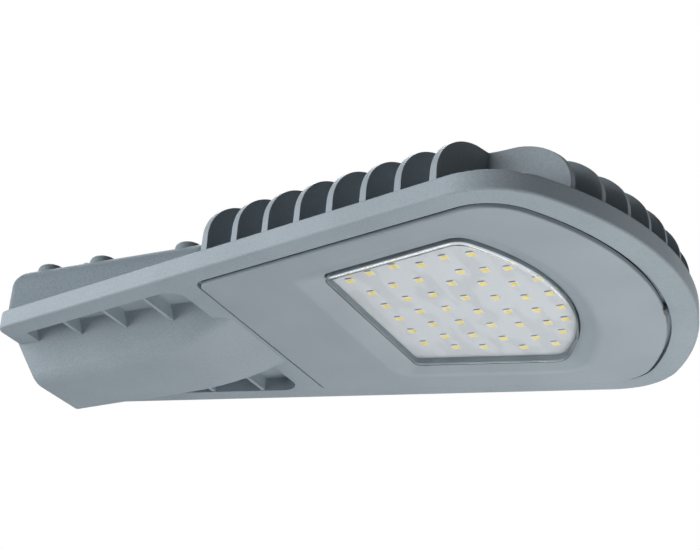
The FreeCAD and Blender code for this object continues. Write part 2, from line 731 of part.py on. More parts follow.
def retainer_screw_places():
    """Screws round the retaining frame: three a side, two at the nose, two at the rear."""
    line = inset(window_line, -size["retainer_screw_place"])
    span = window_line.length - window_line.rear
    places = []
    for share in RETAINER_SHARES:
        x = window_line.rear + share * span
        places += [(x, half_width_at(line, x)), (x, -half_width_at(line, x))]
    for y in (size["retainer_row"], -size["retainer_row"]):
        places += [(nose_at(line, y), y), (line.rear, y)]
    return places


# The casting
def housing():
    """Rim, heat sink, trough with its gussets, deck, posts and the land for the LED board."""
    band = slab("rim_band", rim_line, "0", "rim_height")
    band = rounded("rim_band_round", band, size["rim_round"],
                   lambda edge: flat_at(0.0)(edge) or flat_at(size["rim_height"])(edge))
    near_pocket = pocket("pocket_near")
    band = cut("rim_pocketed", band, [near_pocket, mirrored("pocket_far", near_pocket)])
    roof = slab("roof", inset(opening_line, size["roof_inset"]), ROOT, "roof_height")
    fins = common("fins", fin_envelope(), fuse("blades", side_fins() + nose_fins()))
    posts = [rod("post_%d" % number, (x, y, level(ROOT)), "post_radius", "cover_top - (%s)" % ROOT)
             for number, (x, y) in enumerate(boss_places())]
    posts = common("posts", fuse("posts_full", posts), bay_inside("post_limit", ROOT))
    parts = [band, roof, fins, posts, trough()] + gussets()
    for number, side in enumerate(("driver_half_width - driver_ear", "0 - driver_half_width")):
        parts.append(box("driver_rail_%d" % number, ("driver_start", side, level(ROOT)),
                         (DRIVER_LENGTH, "driver_ear", "rim_height + driver_lift - (%s)" % ROOT)))
    hollowed = cut("body_hollowed", fuse("body_solid", parts), housing_cuts())
    land = slab("board_land", board_line, "led_level + led_height + board_height + pad_height",
                "ceiling_height + 1")
    return fuse("housing", [hollowed, land])


def housing_cuts():
    """Everything that is taken out of the casting."""
    tools = [
        mouth_slice(),
        rod("pole_bore", ("0 - socket_radius", "0", "0"), "socket_radius",
            "socket_depth + socket_radius", FORWARD),
        box("pole_slot", ("0 - socket_radius", "0 - socket_radius", "0"),
            ("socket_depth + socket_radius", "2 * socket_radius", "rim_height")),
        box("well", ("well_start", "0 - well_half_width", level("0 - well_depth")),
            ("well_length", "2 * well_half_width", "rim_height + well_depth + 1")),
        slab("plate_opening", opening_line, "0 - 1", "ledge_height"),
        slab("chamber", chamber_line, "ledge_height - 1", "ceiling_height"),
        rod("lead_bore", ("well_start + well_length - 1", "0", level("gland_level")), "gland_radius",
            "opening_rear + ledge_width - well_start - well_length + 2", FORWARD),
        rod("vent_bore", ("vent_place", "0", level("ceiling_height - 1")), "vent_stem",
            "roof_height - ceiling_height + 2"),
        rod("earth_bore", ("earth_place", "0 - boss_row", level("rim_height - small_screw_grip")),
            "small_screw_radius", "small_screw_grip + 1"),
    ]
    deep = "boss_top - cover_screw_head_height - cover_screw_length"
    for number, (x, y) in enumerate(boss_places()):
        tools.append(rod("post_bore_%d" % number, (x, y, level(deep)), "cover_screw_shank",
                         "cover_screw_length"))
    for number, (x, y) in enumerate(plate_screw_places()):
        tools.append(rod("plate_bore_%d" % number, (fixed(x), fixed(y), level("ceiling_height - 1")),
                         "plate_screw_radius", "roof_height - ceiling_height + 2"))
    for number, (x, y) in enumerate(clamp_bolt_places()):
        tools.append(rod("clamp_bore_%d" % number, (x, y, level("rim_height - clamp_bolt_depth")),
                         "clamp_bolt_radius", "clamp_bolt_depth + 1"))
    small = driver_screw_places() + unit_screw_places("") + unit_screw_places("0 - ")
    for number, (x, y) in enumerate(small):
        tools.append(rod("small_bore_%d" % number, (x, y, level("rim_height - small_screw_grip")),
                         "small_screw_radius", "small_screw_grip + driver_lift + 1"))
    return tools


# The bay over the socket
def bay_block(name, shrink, low, high, corner, top_round=0.0):
    """A block over the bay with rounded uprights and, where asked, a rounded top."""
    block = box(name + "_box", ("cover_rear + " + shrink, "%s - cover_half_width" % shrink, level(low)),
                ("cover_front - cover_rear - 2 * " + shrink, "2 * cover_half_width - 2 * " + shrink,
                 "%s - (%s)" % (high, low)))
    block = rounded(name + "_upright", block, corner, upright)
    if not top_round:
        return block
    doc.recompute()
    top = block.Shape.BoundBox.ZMax
    return rounded(name, block, top_round, lambda edge: edge.BoundBox.ZMin > top - 0.01)


def bay_inside(name, low):
    """The space under the bay cover's shell, from a height up."""
    wall = size["cover_wall"]
    return bay_block(name, "cover_wall", low, "cover_top - cover_wall", size["cover_corner"] - wall,
                     size["cover_round"] - wall)


def bay_cover():
    """The cast cover of the bay: rounded shell, notch for the pole, screw bosses on top."""
    floor = "rim_height + bay_gasket_height"
    shell = bay_block("cover_outside", "0", floor, "cover_top", size["cover_corner"], size["cover_round"])
    inside = bay_inside("cover_inside", floor + " - 1")
    parts = [shell]
    for number, (x, y) in enumerate(boss_places()):
        boss = rod("cover_boss_%d" % number, (x, y, level("cover_top - cover_round")), "boss_radius",
                   "boss_top - cover_top + cover_round")
        parts.append(rounded("cover_boss_round_%d" % number, boss, size["boss_round"],
                             flat_at(size["boss_top"])))
    for number, side in enumerate(("", "0 - ")):
        stub = rod("cover_stub_%d" % number,
                   ("boss_middle - stub_step", side + "boss_row", level("cover_top - cover_round")),
                   "stub_radius", "stub_top - cover_top + cover_round")
        parts.append(rounded("cover_stub_round_%d" % number, stub, size["stub_radius"] / 2,
                             flat_at(size["stub_top"])))
    tools = [inside, rod("cover_notch", ("cover_rear - 1", "0", "0"), "socket_radius + notch_gap",
                         "cover_wall + 2", FORWARD)]
    for number, (x, y) in enumerate(boss_places()):
        tools.append(rod("cover_bore_%d" % number, (x, y, level("cover_top - cover_wall - 1")),
                         "cover_screw_shank", "boss_top - cover_top + cover_wall + 2"))
        tools.append(rod("cover_seat_%d" % number, (x, y, level("boss_top - cover_screw_head_height")),
                         "cover_screw_head + cover_screw_gap", "cover_screw_head_height + 1"))
    return cut("bay_cover", fuse("cover_solid", parts), tools)


def bay_gasket():
    """The flat gasket that follows the cover's wall, open where the pole enters."""
    outside = bay_block("gasket_outside", "0", "rim_height", "rim_height + bay_gasket_height",
                        size["cover_corner"])
    inside = bay_block("gasket_inside", "cover_wall", "rim_height - 1",
                       "rim_height + bay_gasket_height + 1", size["cover_corner"] - size["cover_wall"])
    gap = box("gasket_gap", ("cover_rear - 1", "0 - socket_radius", level("rim_height - 1")),
              ("cover_wall + 2", "2 * socket_radius", "bay_gasket_height + 2"))
    return cut("bay_gasket", outside, [inside, gap])


def bay_cover_screws():
    """Six screws sunk in the cover's bosses."""
    return group("bay_cover_screws", [
        screw("cover_screw_%d" % number, (x, y, level("boss_top - cover_screw_head_height")),
              "cover_screw_head", "cover_screw_head_height", "cover_screw_shank", "cover_screw_length")
        for number, (x, y) in enumerate(boss_places())])


def clamp_saddle():
    """The arched clamp that presses on the pole."""
    feet = box("saddle_feet", ("saddle_start", "0 - saddle_half_width", level("rim_height")),
               ("saddle_length", "2 * saddle_half_width", "saddle_foot"))
    arch = rod("saddle_arch", ("saddle_start", "0", "0"), "socket_radius + saddle_wall", "saddle_length",
               FORWARD)
    below = box("saddle_below", ("saddle_start - 1", "0 - 2 * saddle_half_width",
                                 level("rim_height - 4 * saddle_half_width")),
                ("saddle_length + 2", "4 * saddle_half_width", "4 * saddle_half_width"))
    tube = rod("saddle_bore", ("saddle_start - 1", "0", "0"), "socket_radius", "saddle_length + 2",
               FORWARD)
    bores = [rod("saddle_bolt_bore_%d" % number, (x, y, level("rim_height - 1")), "clamp_bolt_radius",
                 "saddle_foot + 2") for number, (x, y) in enumerate(clamp_bolt_places())]
    return cut("clamp_saddle", fuse("saddle_solid", [feet, arch]), [below, tube] + bores)


def clamp_washers():
    """A washer under each clamp bolt's head."""
    washers = []
    for number, (x, y) in enumerate(clamp_bolt_places()):
        disc = rod("washer_disc_%d" % number, (x, y, level("rim_height + saddle_foot")), "washer_radius",
                   "washer_height")
        hole = rod("washer_hole_%d" % number, (x, y, level("rim_height + saddle_foot - 1")),
                   "clamp_bolt_radius", "washer_height + 2")
        washers.append(cut("washer_%d" % number, disc, [hole]))
    return group("clamp_washers", washers)


def clamp_bolts():
    """Four hexagon bolts through the saddle's feet."""
    bolts = []
    for number, (x, y) in enumerate(clamp_bolt_places()):
        seat = level("rim_height + saddle_foot + washer_height")
        head = doc.addObject("Part::Prism", "clamp_head_%d" % number)
        head.Polygon = 6
        bind(head, "Circumradius", "clamp_head_radius")
        bind(head, "Height", "clamp_head_height")
        place(head, x, y, seat)
        shank = rod("clamp_shank_%d" % number, (x, y, level("rim_height - clamp_bolt_depth")),
                    "clamp_bolt_radius", "clamp_bolt_depth + saddle_foot + washer_height")
        bolts.append(fuse("clamp_bolt_%d" % number, [head, shank]))
    return group("clamp_bolts", bolts)


def driver():
    """The LED driver: a case on two eared feet that span the well."""
    foot = "rim_height + driver_lift"
    case = box("driver_case", ("driver_start", "driver_ear - driver_half_width", level(foot)),
               (DRIVER_LENGTH, "2 * driver_half_width - 2 * driver_ear", DRIVER_HEIGHT))
    case = rounded("driver_case_round", case, size["driver_round"], upright)
    ears = box("driver_ears", ("driver_start", "0 - driver_half_width", level(foot)),
               (DRIVER_LENGTH, "2 * driver_half_width", "driver_ear_height"))
    bores = [rod("driver_bore_%d" % number, (x, y, level(foot + " - 1")), "small_screw_radius",
                 "driver_ear_height + 2") for number, (x, y) in enumerate(driver_screw_places())]
    return cut("driver", fuse("driver_solid", [case, ears]), bores)


def driver_screws():
    """Four screws in the driver's ears."""
    return group("driver_screws", [
        screw("driver_screw_%d" % number, (x, y, level("rim_height + driver_lift + driver_ear_height")),
              "small_screw_head", "small_screw_head_height", "small_screw_radius",
              "driver_ear_height + driver_lift + small_screw_grip")
        for number, (x, y) in enumerate(driver_screw_places())])


def bay_unit(name, side, height):
    """A small unit on the deck beside the pole: a body between two screwed ears."""
    low_side = "block_inner" if side == "" else "0 - block_outer"
    base = box(name + "_base", ("block_start", low_side, level("rim_height")),
               ("block_length", "block_outer - block_inner", "unit_ear_height"))
    body = box(name + "_body", ("block_start + unit_ear", low_side, level("rim_height")),
               ("block_length - 2 * unit_ear", "block_outer - block_inner", height))
    bores = [rod("%s_bore_%d" % (name, number), (x, y, level("rim_height - 1")), "small_screw_radius",
                 "unit_ear_height + 2") for number, (x, y) in enumerate(unit_screw_places(side))]
    return fuse(name + "_solid", [base, body]), bores


def terminal_block():
    """Three-way terminal block with wire holes in its inner side and screw holes on top."""
    solid, tools = bay_unit("terminal", "", "terminal_height")
    for number in range(int(size["terminal_ways"])):
        x = "block_start + unit_ear + (block_length - 2 * unit_ear) * (%d + 0.5) / terminal_ways" % number
        tools.append(rod("wire_hole_%d" % number,
                         (x, "block_inner - 1", level("rim_height + wire_hole_height")),
                         "terminal_hole", "terminal_hole_depth + 1", Vector(0, 1, 0)))
        tools.append(rod("screw_hole_%d" % number,
                         (x, "(block_inner + block_outer) / 2",
                          level("rim_height + terminal_height - terminal_hole_depth")),
                         "terminal_hole", "terminal_hole_depth + 1"))
    return cut("terminal_block", solid, tools)


def surge_protector():
    """The surge protector on the other side of the pole."""
    solid, tools = bay_unit("surge", "0 - ", "surge_height")
    return cut("surge_protector", solid, tools)


def unit_screws(name, side):
    """The two screws of a small unit."""
    return group(name, [
        screw("%s_%d" % (name, number), (x, y, level("rim_height + unit_ear_height")), "unit_screw_head",
              "small_screw_head_height", "small_screw_radius", "unit_ear_height + small_screw_grip")
        for number, (x, y) in enumerate(unit_screw_places(side))])


def earth_screw():
    """The earth screw on the deck."""
    return screw("earth_screw", ("earth_place", "0 - boss_row", level("rim_height")), "small_screw_head",
                 "small_screw_head_height", "small_screw_radius", "small_screw_grip")


def lead_gland():
    """The gland that carries the leads from the well into the sealed chamber."""
    wall = "well_start + well_length"
    head = doc.addObject("Part::Prism", "gland_nut")
    head.Polygon = 6
    head.Placement = FreeCAD.Placement(Vector(), FreeCAD.Rotation(UP, FORWARD))
    bind(head, "Circumradius", "gland_head")
    bind(head, "Height", "gland_head_length")
    place(head, wall + " - gland_head_length", "0", level("gland_level"))
    sleeve = rod("gland_sleeve", (wall + " - 1", "0", level("gland_level")), "gland_radius",
                 "opening_rear + ledge_width - well_start - well_length + 1", FORWARD)
    bore = rod("gland_bore", (wall + " - gland_head_length - 1", "0", level("gland_level")),
               "gland_radius - gland_wall", "opening_rear + ledge_width - well_start", FORWARD)
    return cut("lead_gland", fuse("gland_solid", [head, sleeve]), [bore])


def breather():
    """The breather of the sealed chamber, a ribbed cap on the roof."""
    top = size["roof_height"] + size["vent_height"]
    cap = rod("vent_cap", ("vent_place", "0", level("roof_height")), "vent_radius", "vent_height")
    cap = rounded("vent_cap_round", cap, size["vent_round"], flat_at(top))
    stem = rod("vent_stem_rod", ("vent_place", "0", level("ceiling_height")), "vent_stem",
               "roof_height - ceiling_height + 1")
    return fuse("breather", [cap, stem])


# The lens plate and what it carries
def lens_plate():
    """The cast lower plate: bevelled recess, window, collar and blind screw bosses."""
    face = slab("plate_face", inset(opening_line, size["plate_gap"]), "0 - plate_drop", "plate_top")
    face = rounded("plate_face_round", face, size["plate_round"], flat_at(-size["plate_drop"]))
    collar = slab("plate_collar", inset(recess_line, -size["collar_margin"]), "plate_top - 1",
                  "collar_top")
    places = plate_screw_places()
    bosses = [rod("plate_boss_%d" % number, (fixed(x), fixed(y), level("plate_top - 1")),
                  "plate_boss_radius", "ceiling_height - plate_top + 1")
              for number, (x, y) in enumerate(places)]
    tools = [
        bevel_between("plate_bevel", recess_line, "0 - plate_drop", window_line, "sill_height"),
        slab("plate_window", window_line, "sill_height - 1", "collar_top + 1"),
    ]
    deep = "roof_height - plate_screw_length"
    tools += [rod("boss_bore_%d" % number, (fixed(x), fixed(y), level(deep)), "plate_screw_radius",
                  "plate_screw_length") for number, (x, y) in enumerate(places)]
    deep = "retainer_top - retainer_screw_length"
    tools += [rod("collar_bore_%d" % number, (fixed(x), fixed(y), level(deep)), "retainer_screw_shank",
                  "retainer_screw_length") for number, (x, y) in enumerate(retainer_screw_places())]
    sharp = cut("plate_sharp", fuse("plate_solid", [face, collar] + bosses), tools)
    low = flat_at(-size["plate_drop"])
    return rounded("lens_plate", sharp, size["recess_roll"],
                   lambda edge: low(edge) and edge.BoundBox.XMin > recess_line.rear - 1
                   and edge.BoundBox.XMax < recess_line.length + 1)


def plate_gasket():
    """The gasket between the plate and the ledge."""
    margin = size["gasket_margin"]
    return ring("plate_gasket", inset(opening_line, size["plate_gap"] + margin),
                inset(opening_line, size["ledge_width"] - margin), "plate_top", "ledge_height")


def plate_screws():
    """Screws that come down between the fins into the plate's bosses."""
    return group("plate_screws", [
        screw("plate_screw_%d" % number, (fixed(x), fixed(y), level("roof_height")), "plate_screw_head",
              "plate_screw_head_height", "plate_screw_radius", "plate_screw_length")
        for number, (x, y) in enumerate(plate_screw_places())])


def plate_catch():
    """The small catch in the gap at the nose."""
    turn = math.radians(size["clip_angle"])
    reach = opening_line.nose - size["plate_gap"] + size["clip_clearance"]
    centre = opening_line.length - opening_line.nose
    half = size["clip_width"] / 2
    x = centre + reach * math.cos(turn) + half * math.sin(turn)
    y = reach * math.sin(turn) - half * math.cos(turn)
    catch = box("plate_catch", (fixed(x), fixed(y), level("plate_top - clip_height")),
                ("clip_reach", "clip_width", "clip_height"))
    catch.Placement.Rotation = FreeCAD.Rotation(UP, size["clip_angle"])
    return catch


def clear_lens():
    """The clear pane: a raised tray with a flange that seats on the collar."""
    top = "collar_top + lens_gasket_height + lens_flange_height"
    tray = slab("lens_tray", inset(window_line, size["lens_gap"]), "lens_face", top)
    tray = rounded("lens_tray_round", tray, size["lens_round"], flat_at(size["lens_face"]))
    flange = slab("lens_flange_slab", inset(window_line, -size["lens_flange"]),
                  "collar_top + lens_gasket_height", top)
    hollow = slab("lens_hollow", lens_hole_line, "lens_face + lens_wall", top + " + 1")
    return cut("clear_lens", fuse("lens_solid", [tray, flange]), [hollow])


def lens_gasket():
    """The gasket under the lens's flange."""
    return ring("lens_gasket", inset(window_line, -size["lens_flange"]),
                inset(window_line, -size["gasket_margin"]), "collar_top",
                "collar_top + lens_gasket_height")


def lens_retainer():
    """The stepped frame that presses the lens down and seats on the collar."""
    flange_top = "collar_top + lens_gasket_height + lens_flange_height"
    outer = inset(window_line, -size["retainer_reach"])
    frame = ring("retainer_frame", outer, window_line, flange_top, "retainer_top")
    skirt = ring("retainer_skirt", outer, inset(window_line, -size["lens_flange"] - size["flange_gap"]),
                 "collar_top", "retainer_top")
    deep = "retainer_top - retainer_screw_length"
    bores = [rod("retainer_bore_%d" % number, (fixed(x), fixed(y), level(deep)), "retainer_screw_shank",
                 "retainer_screw_length + 1") for number, (x, y) in enumerate(retainer_screw_places())]
    return cut("lens_retainer", fuse("retainer_solid", [frame, skirt]), bores)


def retainer_screws():
    """Screws of the retaining frame."""
    return group("retainer_screws", [
        screw("retainer_screw_%d" % number, (fixed(x), fixed(y), level("retainer_top")),
              "retainer_screw_head", "retainer_screw_head_height", "retainer_screw_shank",
              "retainer_screw_length")
        for number, (x, y) in enumerate(retainer_screw_places())])


def led_board():
    """The board, a little smaller than the lens's hollow."""
    low = "led_level + led_height"
    return slab("led_board", board_line, low, low + " + board_height")


def thermal_pad():
    """The adhesive pad between the board and the casting."""
    low = "led_level + led_height + board_height"
    return slab("thermal_pad", board_line, low, low + " + pad_height")


def led_chips():
    """All LEDs on the board."""
    places = list(LED_EDGES)
    for along, row in LED_COLUMNS:
        places += [(along, across) for across in row]
    chips = []
    for number, (along, across) in enumerate(places):
        x = board_line.rear + along / 100 * (board_line.length - board_line.rear)
        y = across / 100 * half_width_at(board_line, x)
        corner = (fixed(x) + " - led_length / 2", fixed(y) + " - led_width / 2", level("led_level"))
        chips.append(box("led_%d" % number, corner, ("led_length", "led_width", "led_height")))
    return group("led_chips", chips)


def main():
    """Builds every node, checks it and writes one STEP file each."""
    nodes = [
        housing(), bay_cover(), bay_gasket(), bay_cover_screws(), clamp_saddle(), clamp_washers(),
        clamp_bolts(), driver(), driver_screws(), terminal_block(), unit_screws("terminal_screws", ""),
        surge_protector(), unit_screws("surge_screws", "0 - "), earth_screw(), lead_gland(), breather(),
        lens_plate(), plate_gasket(), plate_screws(), plate_catch(), clear_lens(), lens_gasket(),
        lens_retainer(), retainer_screws(), led_board(), thermal_pad(), led_chips(),
    ]
    doc.recompute()
    os.makedirs("parts", exist_ok=True)
    for obj in doc.Objects:
        if "Invalid" in obj.State or "Error" in obj.State:
            raise RuntimeError("%s did not build" % obj.Label)
    for node in nodes:
        if node.Shape.isNull() or not node.Shape.isValid() or not node.Shape.Solids:
            raise RuntimeError("%s has no valid solid" % node.Label)
        print(node.Label, len(node.Shape.Solids), round(node.Shape.Volume))
        node.Shape.exportStep("parts/%s.step" % node.Label)


main()
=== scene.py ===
import math

import bmesh
import bpy
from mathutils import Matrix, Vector
from mathutils.geometry import convex_hull_2d, intersect_line_line_2d


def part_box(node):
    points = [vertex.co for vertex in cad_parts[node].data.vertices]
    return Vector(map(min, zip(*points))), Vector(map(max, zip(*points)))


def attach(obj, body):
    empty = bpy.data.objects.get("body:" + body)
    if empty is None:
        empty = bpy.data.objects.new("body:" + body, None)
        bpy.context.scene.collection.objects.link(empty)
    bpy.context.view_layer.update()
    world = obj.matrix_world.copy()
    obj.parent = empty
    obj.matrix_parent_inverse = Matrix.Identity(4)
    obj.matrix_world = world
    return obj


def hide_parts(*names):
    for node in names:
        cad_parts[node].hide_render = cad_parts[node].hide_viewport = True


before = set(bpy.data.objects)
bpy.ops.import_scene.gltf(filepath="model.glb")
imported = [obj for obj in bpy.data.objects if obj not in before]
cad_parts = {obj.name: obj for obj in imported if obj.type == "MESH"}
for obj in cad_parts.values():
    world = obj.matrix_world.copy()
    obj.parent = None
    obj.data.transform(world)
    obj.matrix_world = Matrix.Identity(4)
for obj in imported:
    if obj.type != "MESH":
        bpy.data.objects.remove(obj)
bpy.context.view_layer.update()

BODY = "root"
MM = 0.001

# Powder coat and other finishes, as sRGB colours
BODY_GREY = (0.595, 0.64, 0.672)
COVER_GREY = (0.46, 0.51, 0.54)
PLATE_GREY = (0.603, 0.645, 0.675)
BOARD_WHITE = (0.81, 0.82, 0.84)
PHOSPHOR = (0.97, 0.87, 0.44)
PACKAGE_WHITE = (0.93, 0.92, 0.88)
EDGE_BAR_GREY = (0.36, 0.37, 0.39)
# Painted shade: the grey of the band inside the pane's wall, standing for the shade seen through
# the wall
PAINTED_SHADE_GREY = (0.47, 0.52, 0.55)
ZINC = (0.72, 0.72, 0.71)
STAINLESS = (0.70, 0.70, 0.69)
SEAL_BLACK = (0.09, 0.09, 0.095)
PAD_GREY = (0.55, 0.57, 0.60)
CASE_WHITE = (0.86, 0.86, 0.84)
BLACK = (0.06, 0.06, 0.065)
CATCH_GREY = (0.33, 0.35, 0.36)
GLASS_TINT = (0.97, 0.98, 0.98)
FLOOR_GREY = (0.96, 0.96, 0.96)
COAT_GLOSS = 0.2
BOARD_GLOSS = 0.25
EDGE_SOFTNESS = 0.7 * MM

# The pane is drawn with a thinner wall than its solid's
TURN_STEPS = 480
ROUND_STEPS = 6
CAD_WALL = 2.6 * MM
PANE_WALL = 1.0 * MM
PANE_FACE = 1.0 * MM
PANE_ROUND = 1.6 * MM
INNER_ROUND = 0.7 * MM
LEVEL_MARGIN = 0.02 * MM

# The board nearly fills the pane, and its face stands nearer to the pane than its solid's
BOARD_DROP = 1.5 * MM
BOARD_GAP = 0.3 * MM
BOARD_SOFT = 0.1 * MM

# The grey band inside the pane's wall, a sheet of painted shade for the shade seen through the
# wall
BAND_GAP = 0.05 * MM
BAND_THICK = 0.2 * MM
BAND_LIFT = 0.6 * MM

# The LED packages, from the edges of their plain solids
PACKAGE_MARGIN = 0.2 * MM
PACKAGE_LIFT = 0.12 * MM
PACKAGE_CORNER = 0.4 * MM
FACE_NEAR = Vector((0.5, 0.9, 0.0)) * MM
FACE_FAR = Vector((0.3, 0.1, 0.0)) * MM
FACE_THICK = 0.3 * MM
FACE_CORNER = 1.1 * MM
BAR_NEAR = Vector((0.4, -0.9, 0.0)) * MM
BAR_END = 1.0 * MM
BAR_EDGE = 0.15 * MM
BAR_THICK = 0.3 * MM
BAR_CORNER = 0.2 * MM

# Cap screws, as shares of their own sizes
SCREW_SEGMENTS = 36
TIP_SHARE = 0.75
TIP_LENGTH_SHARE = 0.3
CHAMFER_SHARE = 0.12
SOCKET_SHARE = 0.5
SOCKET_TAPER = 0.96
SOCKET_RIM_SHARE = 0.05
SOCKET_DEPTH_SHARE = 0.6

# Stage, lamps and world
FLOOR_LEVEL = -2.6
FLOOR_HALF = 60.0
FLOOR_GLOW = 0.85
MIDDLE = (0.23, 0.0, 0.0)
SHADE_LIGHT = 0.035
LAMPS = [
    # name, place, size, power
    ("key_lamp", (-1.33, -1.56, 0.1), 2.0, 69.0),
    ("nose_lamp", (0.92, 0.05, -0.6), 0.7, 3.8),
    ("under_lamp", (0.23, 1.03, -1.23), 1.1, 12.0),
    ("top_lamp", (-0.75, 1.15, 1.75), 1.5, 34.0),
]


def linear(colour):
    """An sRGB colour as linear RGBA."""
    parts = [c / 12.92 if c <= 0.04045 else ((c + 0.055) / 1.055) ** 2.4 for c in colour]
    return (*parts, 1.0)


def shifted(colour, step):
    """The colour made lighter or darker by a step."""
    return tuple(min(max(c + step, 0.0), 1.0) for c in colour)


# Materials
def shader(name, colour, roughness, metallic=0.0):
    """A material with one Principled shader."""
    material = bpy.data.materials.new(name)
    material.use_nodes = True
    surface = material.node_tree.nodes["Principled BSDF"]
    surface.inputs["Base Color"].default_value = linear(colour)
    surface.inputs["Roughness"].default_value = roughness
    surface.inputs["Metallic"].default_value = metallic
    return material, surface


def noise(tree, grain, detail=2.0, stretch=(1.0, 1.0, 1.0)):
    """A noise whose lumps are about as large as the grain, in metres."""
    place = tree.nodes.new("ShaderNodeTexCoord")
    scale = tree.nodes.new("ShaderNodeMapping")
    scale.inputs["Scale"].default_value = stretch
    texture = tree.nodes.new("ShaderNodeTexNoise")
    texture.inputs["Scale"].default_value = 1.0 / grain
    texture.inputs["Detail"].default_value = detail
    tree.links.new(place.outputs["Object"], scale.inputs["Vector"])
    tree.links.new(scale.outputs["Vector"], texture.inputs["Vector"])
    return texture.outputs["Fac"]


def blend_colours(tree, factor, low, high, spread=(0.3, 0.7)):
    """A ramp between two sRGB colours."""
    ramp = tree.nodes.new("ShaderNodeValToRGB")
    for stop, position, colour in zip(ramp.color_ramp.elements, spread, (low, high)):
        stop.position = position
        stop.color = linear(colour)
    tree.links.new(factor, ramp.inputs["Fac"])
    return ramp.outputs["Color"]


def spread_values(tree, factor, low, high):
    """A noise mapped to a span of plain values."""
    span = tree.nodes.new("ShaderNodeMapRange")
    span.inputs["From Min"].default_value = 0.3
    span.inputs["From Max"].default_value = 0.7
    span.inputs["To Min"].default_value = low
    span.inputs["To Max"].default_value = high
    tree.links.new(factor, span.inputs["Value"])
    return span.outputs["Result"]


def vary_colour(tree, surface, factor, low, high, spread=(0.3, 0.7)):
    """Gives the surface a colour that follows a noise."""
    colours = blend_colours(tree, factor, low, high, spread)
    tree.links.new(colours, surface.inputs["Base Color"])


def vary_roughness(tree, surface, factor, low, high):
    """Gives the surface a roughness that follows a noise."""
    tree.links.new(spread_values(tree, factor, low, high), surface.inputs["Roughness"])


def bumps(tree, surface, layers, edge=None):
    """Stacks bumps, each a height, a strength and a depth in metres, over softened edges."""
    normal = None
    if edge:
        soft = tree.nodes.new("ShaderNodeBevel")
        soft.samples = 6
        soft.inputs["Radius"].default_value = edge
        normal = soft.outputs["Normal"]
    for height, strength, depth in layers:
        bump = tree.nodes.new("ShaderNodeBump")
        bump.inputs["Strength"].default_value = strength
        bump.inputs["Distance"].default_value = depth
        tree.links.new(height, bump.inputs["Height"])
        if normal:
            tree.links.new(normal, bump.inputs["Normal"])
        normal = bump.outputs["Normal"]
    tree.links.new(normal, surface.inputs["Normal"])


def blend_shaders(material, factor, first, second):
    """Blends two shaders by a factor as the material's surface."""
    tree = material.node_tree
    mix = tree.nodes.new("ShaderNodeMixShader")
    tree.links.new(factor, mix.inputs["Fac"])
    tree.links.new(first, mix.inputs[1])
    tree.links.new(second, mix.inputs[2])
    tree.links.new(mix.outputs["Shader"], tree.nodes["Material Output"].inputs["Surface"])


def powder_coat(name, colour, grain, depth, variation, roughness):
    """Powder coat on a casting: fine orange peel, specks and a slow change of tone."""
    material, surface = shader(name, colour, roughness)
    surface.inputs["Specular IOR Level"].default_value = COAT_GLOSS
    tree = material.node_tree
    fine = noise(tree, grain, 3.0)
    slow = noise(tree, 0.05)
    speck = blend_colours(tree, fine, shifted(colour, -variation), shifted(colour, variation))
    tone = blend_colours(tree, slow, shifted((1, 1, 1), -0.04), (1, 1, 1))
    mix = tree.nodes.new("ShaderNodeMix")
    mix.data_type = "RGBA"
    mix.blend_type = "MULTIPLY"
    mix.inputs["Factor"].default_value = 1.0
    tree.links.new(speck, mix.inputs["A"])
    tree.links.new(tone, mix.inputs["B"])
    tree.links.new(mix.outputs["Result"], surface.inputs["Base Color"])
    vary_roughness(tree, surface, fine, roughness - 0.06, roughness + 0.08)
    layers = [(noise(tree, 0.006), 0.12, 0.0004), (fine, 0.5, depth)]
    bumps(tree, surface, layers, EDGE_SOFTNESS)
    return material


def steel(name, colour, roughness):
    """Plated or plain steel with faint turning marks and stains."""
    material, surface = shader(name, colour, roughness, 1.0)
    tree = material.node_tree
    stain = noise(tree, 0.004)
    fine = noise(tree, 0.0004)
    vary_colour(tree, surface, stain, shifted(colour, -0.06), shifted(colour, 0.04))
    vary_roughness(tree, surface, fine, roughness - 0.05, roughness + 0.1)
    bumps(tree, surface, [(fine, 0.15, 0.00005)])
    return material


def rubber(name, colour):
    """Matt rubber with a fine grain."""
    material, surface = shader(name, colour, 0.8)
    tree = material.node_tree
    fine = noise(tree, 0.0006)
    vary_colour(tree, surface, fine, shifted(colour, -0.02), shifted(colour, 0.03))
    bumps(tree, surface, [(fine, 0.4, 0.0001)])
    return material


def plastic(name, colour, roughness):
    """Moulded plastic with a spark-eroded grain."""
    material, surface = shader(name, colour, roughness)
    tree = material.node_tree
    fine = noise(tree, 0.0005, 3.0)
    slow = noise(tree, 0.02)
    vary_colour(tree, surface, slow, shifted(colour, -0.03), shifted(colour, 0.02))
    vary_roughness(tree, surface, fine, roughness - 0.05, roughness + 0.08)
    bumps(tree, surface, [(fine, 0.2, 0.00005)])
    return material


def clear_glass(name):
    """The clear pane: lamps shine through it, and a faint waviness shows in its gloss."""
    material, surface = shader(name, GLASS_TINT, 0.02)
    surface.inputs["Transmission Weight"].default_value = 1.0
    surface.inputs["IOR"].default_value = 1.49
    tree = material.node_tree
    bumps(tree, surface, [(noise(tree, 0.03), 0.05, 0.0003)])
    path = tree.nodes.new("ShaderNodeLightPath")
    see_through = tree.nodes.new("ShaderNodeBsdfTransparent")
    blend_shaders(material, path.outputs["Is Shadow Ray"], surface.outputs["BSDF"],
                  see_through.outputs["BSDF"])
    return material


